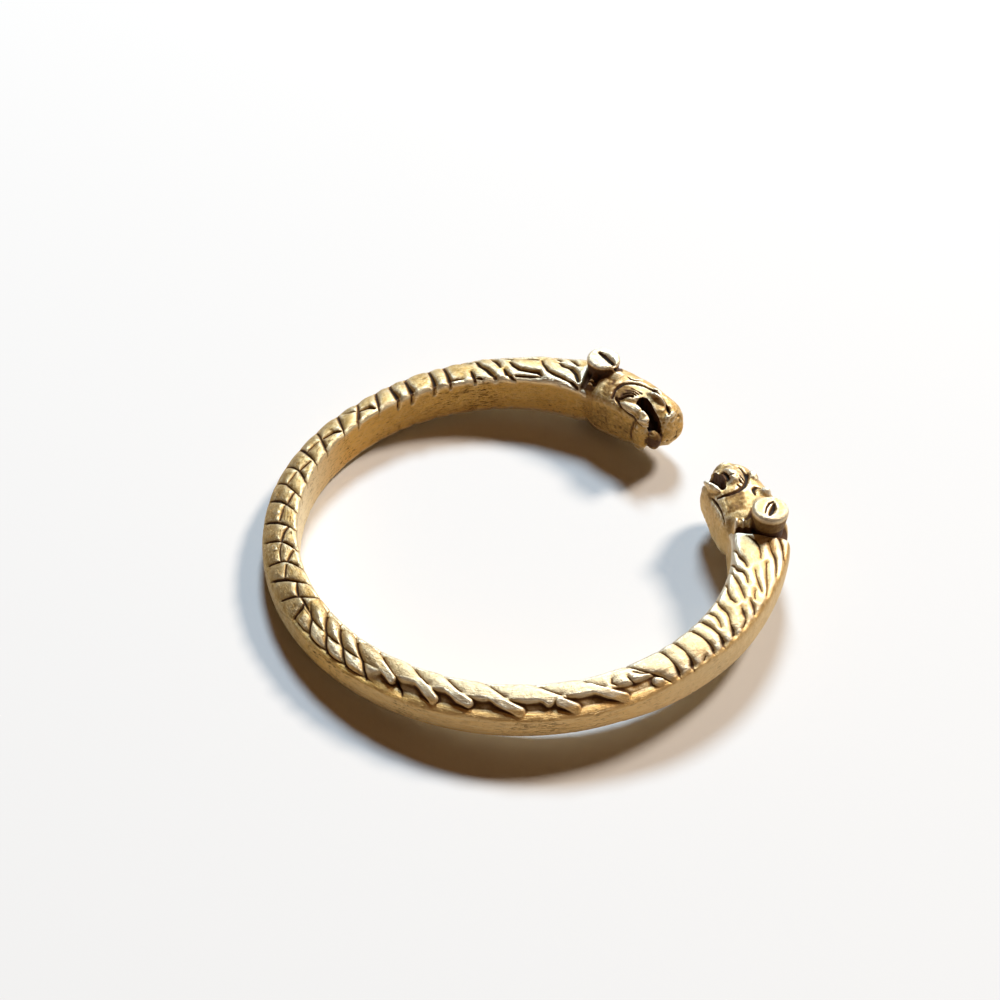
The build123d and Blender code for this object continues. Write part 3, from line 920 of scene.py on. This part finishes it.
# how the finish, its painted shade and its painted light change round the ring: degrees from the
# middle of the gap by the far side | values
WALL_SHADE_AND_TARNISH = ((30, 116, 148, 180, 192, 262, 285, 330), (0.9, 0.9, 0.1, 0.1, 1, 1, 0.45, 0.45))
INNER_WALL_LIGHT = ((112, 140, 184, 196), (0, 0.9, 0.9, 0))
RIM_WALL_LIGHT = ((190, 202, 262, 296, 318, 330), (0, 0.2, 0.2, 0.25, 0.25, 0.1))
PALE_METAL_AND_SHEEN = ((190, 225, 262, 290, 330), (0, 0.5, 0.5, 0.15, 0.1))
PATINA = ((36, 60, 95, 115, 182, 204, 235, 330), (0.2, 0.35, 0.6, 0.95, 0.85, 0.35, 0, 0))
THROAT_SHADE = ((0, 34, 48, 70), (0.36, 0.36, 0.2, 0))
WIDE_FOOT = ((190, 206, 262, 276), (0, 0.5, 0.5, 0))


def mark_hollows(piece):
    """Vertex values for the finish: how deep each place lies in a hollow, with its dirt and painted
    shade, how high on a crest, how much of a plain wall it is with its tarnish and painted shade,
    how much painted light a wall takes, the patina and the pale metal with painted highlight, and
    where it is along the ring, across it and in height."""
    mesh = piece.data
    co, normal = vertex_rows(mesh, "co") / MM, vertex_rows(mesh, "normal")
    count = len(co)
    pairs = np.empty(len(mesh.edges) * 2, int)
    mesh.edges.foreach_get("vertices", pairs)
    pairs = pairs.reshape(-1, 2)
    smooth = co.copy()
    rise = []
    turn = np.degrees(np.arctan2(co[:, 1], co[:, 0])) % 360
    off_seam = smooth_step(np.abs(turn - 180) * mm_per_degree, 0.1, 0.8)
    for passes in (10, 50):
        for _ in range(passes):
            smooth = smooth + 0.7 * (neighbours_mean(pairs, count, smooth) - smooth)
        rise.append(((co - smooth) * normal).sum(axis=1) * off_seam)
    dirt_and_shade = np.empty(count)
    mesh.attributes["dirt_and_shade"].data.foreach_get("value", dirt_and_shade)
    hollow = np.clip(-rise[0] / 0.08, 0, 1) * 0.35 + np.clip(-rise[1] / 0.24, 0, 1) * 0.4 + dirt_and_shade * 0.85
    high = np.clip(rise[0] / 0.07, 0, 1) * 0.6 + np.clip(rise[1] / 0.2, 0, 1) * 0.5

    r = np.hypot(co[:, 0], co[:, 1])
    outer = neck_sizes(np.minimum(turn, 360 - turn))[1]
    foot = np.interp(turn, *WIDE_FOOT)
    on_rim = smooth_step(r, outer - 0.75 - foot, outer - 0.35 - foot)
    upright = smooth_step(1 - np.abs(normal[:, 2]), 0.55, 0.95)
    inward = r < mid_radius
    # painted highlight: the tops of the far head's ear and lips made paler
    far_top_highlight = 0.25 * smooth_step(co[:, 2], 3.0, 4.2) + 0.5 * smooth_step(co[:, 2], 4.4, 5.0)
    place = np.stack([turn * mm_per_degree, r, co[:, 2]], axis=1)
    # painted shade on the inner wall by the throats
    hollow = hollow + upright * inward * np.interp(turn, *THROAT_SHADE)
    # painted light on the walls that the lights fall on: the inner wall towards the back of the far half and
    # the outer rim of the near half
    walls_light = np.where(inward, np.interp(turn, *INNER_WALL_LIGHT), np.interp(turn, *RIM_WALL_LIGHT))
    for name, kind, values in (
        ("hollow", "FLOAT", np.clip(hollow, 0, 1.7)),
        ("crest", "FLOAT", np.clip(high * (1 - 0.9 * on_rim), 0, 1)),
        # plain walls: tarnish, with painted shade on the stretches that face away from the lights
        ("wall", "FLOAT", np.maximum(upright, 0.8 * on_rim) * np.interp(turn, *WALL_SHADE_AND_TARNISH)),
        ("painted_wall_light", "FLOAT", upright * walls_light),
        ("patina", "FLOAT", np.interp(turn, *PATINA)),
        ("pale_metal_and_sheen", "FLOAT", np.interp(turn, *PALE_METAL_AND_SHEEN) + (turn < 60) * far_top_highlight),
        ("place", "FLOAT_VECTOR", place.ravel()),
    ):
        attribute = mesh.attributes.new(name, kind, "POINT")
        attribute.data.foreach_set("vector" if kind == "FLOAT_VECTOR" else "value", values)


brass = bpy.data.materials.new("aged_brass")
brass.use_nodes = True
tree = brass.node_tree
tree.nodes.clear()
start = Tap(tree, None)
solid = start.node("ShaderNodeTexCoord", output=3)


def value_of(name):
    return start.node("ShaderNodeAttribute", {"attribute_name": name}, output=2)


hollow, crest, wall, painted_wall_light = (value_of(name) for name in ("hollow", "crest", "wall", "painted_wall_light"))
patina, pale_metal_and_sheen = value_of("patina"), value_of("pale_metal_and_sheen")
place = start.node("ShaderNodeAttribute", {"attribute_name": "place"}, output=1)


def noise(vector, scale, detail=3.0, rough=0.55):
    inputs = {"Vector": vector, "Scale": scale, "Detail": detail, "Roughness": rough}
    return start.node("ShaderNodeTexNoise", {}, inputs)


def drawn_out(scales):
    """The place along the ring, across it and in height, scaled by these."""
    return start.node("ShaderNodeVectorMath", {"operation": "MULTIPLY"}, {0: place, 1: scales})


files = noise(drawn_out((0.22, 5.5, 5.5)), 1.0, 4.0, 0.6)
scratches = noise(drawn_out((1.3, 6.5, 6.5)), 1.0, 3.0, 0.65)
blotch = noise(solid, 420.0)
speck = noise(solid, 2600.0, 2.0)
patch = noise(solid, 160.0, 2.0).between(0.45, 0.62)
pits = start.node("ShaderNodeTexVoronoi", {}, {"Vector": solid, "Scale": 2100.0}).between(0.16, 0.0)
marks = scratches.between(0.54, 0.66) * (0.3 + patch * 0.7) * (patina * 0.9 + wall * 0.5 + 0.15)
# dirt and painted shade from the hollow values: dirt and patina in the hollows, painted shade in the
# recesses, the mouths and under the ears
dirt_and_shade = (hollow + (blotch - 0.5) * 0.3 + (speck - 0.5) * 0.2).between(0.14, 0.8)
worn = (crest + (blotch - 0.5) * 0.3).between(0.15, 0.9)
grain = noise(solid, 1500.0, 4.0, 0.7)
mottle = grain.between(0.42, 0.62)

old_gold, pale_gold = (0.46, 0.285, 0.088, 1), (0.66, 0.445, 0.175, 1)
speckle, pale_sheen_metal = (0.86, 0.69, 0.38, 1), (0.93, 0.82, 0.6, 1)
rubbed, rubbed_patina = (0.94, 0.84, 0.64, 1), (0.9, 0.76, 0.48, 1)
patina_brown, shaded_wall_gold, lit_wall = (0.26, 0.16, 0.05, 1), (0.77, 0.44, 0.1, 1), (0.96, 0.82, 0.53, 1)
thin_dirt_and_shade, thick_dirt_and_shade, deep_shade_black = (0.33, 0.19, 0.055, 1), (0.115, 0.046, 0.012, 1), (0.018, 0.01, 0.006, 1)
pit_brown, mark_brown = (0.12, 0.06, 0.02, 1), (0.17, 0.09, 0.024, 1)

tone = blotch.between(0.3, 0.7).mix(old_gold, pale_gold)
tone = (mottle * 0.6).mix(tone, speckle)
# paler metal with painted sheen on the near half, and a painted highlight on the far head's top
tone = pale_metal_and_sheen.mix(tone, pale_sheen_metal)
tone = worn.mix(tone, patina.mix(rubbed, rubbed_patina))
stained = patina * (0.35 + (blotch - 0.5) * 0.9 - worn * 0.12)
tone = stained.mix(tone, patina_brown)
# the plain walls tinted orange brown: tarnish and painted shade
tone = (wall * (0.8 + (files - 0.5) * 0.9)).mix(tone, shaded_wall_gold)
# painted light: those walls made pale
tone = painted_wall_light.mix(tone, lit_wall)
# dirt and painted shade darken the colour, in two steps
tone = dirt_and_shade.between(0.0, 0.55).mix(tone, thin_dirt_and_shade)
tone = dirt_and_shade.between(0.4, 1.0).mix(tone, thick_dirt_and_shade)
# painted shade: black in the mouths and the deepest cuts
tone = hollow.between(1.0, 1.6).mix(tone, deep_shade_black)
tone = (pits * 0.6).mix(tone, pit_brown)
tone = (marks * 0.8).mix(tone, mark_brown)
# less metallic where light is painted on the walls
metal = (0.92 - dirt_and_shade * 0.5) * (1 - painted_wall_light * 0.75)
gloss = 0.58 + dirt_and_shade * 0.12 - worn * 0.12 + (files - 0.5) * 0.16 + (grain - 0.5) * 0.35 + marks * 0.15
height_map = files * 0.5 + grain * 1.2 - pits * 0.4 - marks
bump = start.node("ShaderNodeBump", {}, {"Strength": 0.9, "Distance": 0.00011, "Height": height_map})
surface = start.node(
    "ShaderNodeBsdfPrincipled",
    {},
    {"Base Color": tone, "Metallic": metal, "Roughness": gloss, "Normal": bump, "IOR": 1.5},
)
tree.links.new(surface.socket, tree.nodes.new("ShaderNodeOutputMaterial").inputs["Surface"])

bangle = (far_band, near_band, far_head, near_head)
for piece in bangle:
    mark_hollows(piece)
    piece.data.materials.clear()
    piece.data.materials.append(brass)
    piece.data.polygons.foreach_set("use_smooth", [True] * len(piece.data.polygons))
    piece.data.update()
    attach(piece, "root")
    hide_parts("bangle")

# Table and light
# A plain white table top that the bangle lies on, touching it at the ears and at the back of
# the ring, under two soft lights: a cool one from behind and a warm one from behind to the right.

table_colour = (0.79, 0.79, 0.785, 1)
places = [vertex_rows(piece.data, "co") for piece in bangle]
low_points = np.concatenate([co[co[:, 2] < -2.8 * MM] for co in places])


def clearance(slope_x, slope_y):
    """Height at the ring's middle of the table that touches the bangle with these slopes."""
    return float((low_points[:, 2] - slope_x * low_points[:, 0] - slope_y * low_points[:, 1]).min())


def highest(height_at, low, high):
    """Where a rising and falling function is highest."""
    for _ in range(24):
        a, b = low + (high - low) / 3, high - (high - low) / 3
        if height_at(a) < height_at(b):
            low = a
        else:
            high = b
    return (low + high) / 2


def best_slope_y(slope_x):
    return highest(lambda slope_y: clearance(slope_x, slope_y), -0.15, 0.15)


# the table that rises highest under the ring touches it at three points
slope_x = highest(lambda slope: clearance(slope, best_slope_y(slope)), -0.15, 0.15)
slope_y = best_slope_y(slope_x)
rest_height = clearance(slope_x, slope_y)
table_size = 1.2
bpy.ops.object.select_all(action="DESELECT")
bpy.ops.mesh.primitive_plane_add(size=2)
table = bpy.context.object
table.name = table.data.name = "table_top"
for vertex in table.data.vertices:
    x, y = vertex.co.x * table_size, vertex.co.y * table_size
    vertex.co = (x, y, rest_height + slope_x * x + slope_y * y)
table_material = bpy.data.materials.new("white_table")
table_material.use_nodes = True
shader = table_material.node_tree.nodes["Principled BSDF"]
shader.inputs["Base Color"].default_value = table_colour
shader.inputs["Roughness"].default_value = 0.7
shader.inputs["Specular IOR Level"].default_value = 0.1
table.data.materials.append(table_material)


def softbox(name, azimuth, elevation, size, watts, colour):
    """A round light that looks at the bangle, placed round it from the picture's right."""
    a, e = radians(azimuth), radians(elevation)
    direction = photo_place(cos(a) * cos(e), sin(a) * cos(e), sin(e)) - aim
    data = bpy.data.lights.new(name, "AREA")
    data.shape, data.size = "DISK", size
    data.energy, data.color = watts, colour
    lamp = bpy.data.objects.new(name, data)
    bpy.context.scene.collection.objects.link(lamp)
    lamp.location = aim + direction * (light_distance / MM)
    lamp.rotation_euler = (lamp.location - aim).to_track_quat("Z", "Y").to_euler()


light_distance = 2.5  # in metres, as the sizes of the lights
softbox("window", 88, 49.5, 0.66, 58.5, (0.68, 0.85, 1.0))
softbox("warm_window", 43, 41, 0.56, 56, (1.0, 0.87, 0.74))

world = bpy.data.worlds.new("room")
world.use_nodes = True
room = world.node_tree.nodes["Background"]
room.inputs["Color"].default_value = (1.0, 0.5, 0.2, 1)
room.inputs["Strength"].default_value = 0.1
bpy.context.scene.world = world
bpy.context.scene.view_settings.view_transform = "Standard"
bpy.context.scene.view_settings.look = "None"
